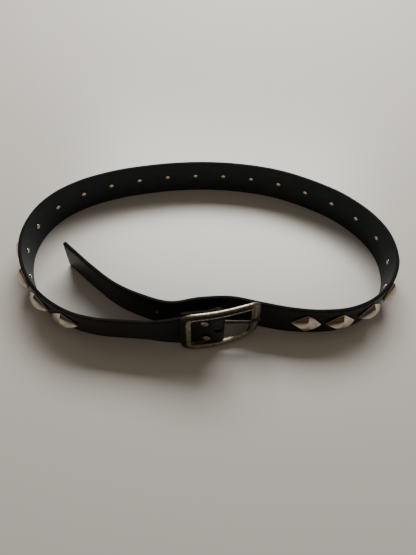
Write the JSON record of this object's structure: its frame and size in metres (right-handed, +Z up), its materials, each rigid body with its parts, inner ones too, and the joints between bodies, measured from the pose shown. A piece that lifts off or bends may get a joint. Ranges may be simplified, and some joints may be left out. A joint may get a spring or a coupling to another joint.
{
  "type": "studded belt",
  "caption": "Leather belt with raised diamond studs and a rectangular centre-bar buckle, unfastened and standing on its edge.",
  "frame": {"origin": "on the table, below the middle of the belt's box", "axes": "+X along the belt's longer way, from the strap's left bend to its right bend; -Y towards the buckle's front; +Z up, across the strap's width"},
  "size_m": [0.3471, 0.1936, 0.0528],
  "materials": {
    "leather": "satin black grain leather",
    "bronze": "antique nickel plate, dull in the grooves",
    "nickel": "warm bright nickel plate"
  },
  "bodies": {
    "belt": {"strap": "leather", "buckle_frame": "bronze", "strap_rivet_upper": "nickel", "strap_rivet_lower": "nickel", "stud_01": "nickel", "stud_02": "nickel", "stud_03": "nickel", "stud_04": "nickel", "stud_05": "nickel", "stud_06": "nickel", "stud_07": "nickel", "stud_08": "nickel", "stud_09": "nickel", "stud_10": "nickel", "stud_11": "nickel", "stud_12": "nickel", "stud_13": "nickel", "stud_14": "nickel", "stud_15": "nickel", "stud_16": "nickel", "stud_17": "nickel", "stud_18": "nickel", "stud_19": "nickel", "stud_20": "nickel", "stud_21": "nickel", "stud_22": "nickel", "stud_23": "nickel"},
    "prong": {"prong": "bronze"}
  },
  "joints": [
    {"name": "prong_swing", "type": "hinge", "parent": "belt", "child": "prong", "pos_m": [0.01115, -0.08391, 0.0265], "axis": [-0.0318, 0.0904, 0.9954], "range_deg": [-110, 0]}
  ]
}
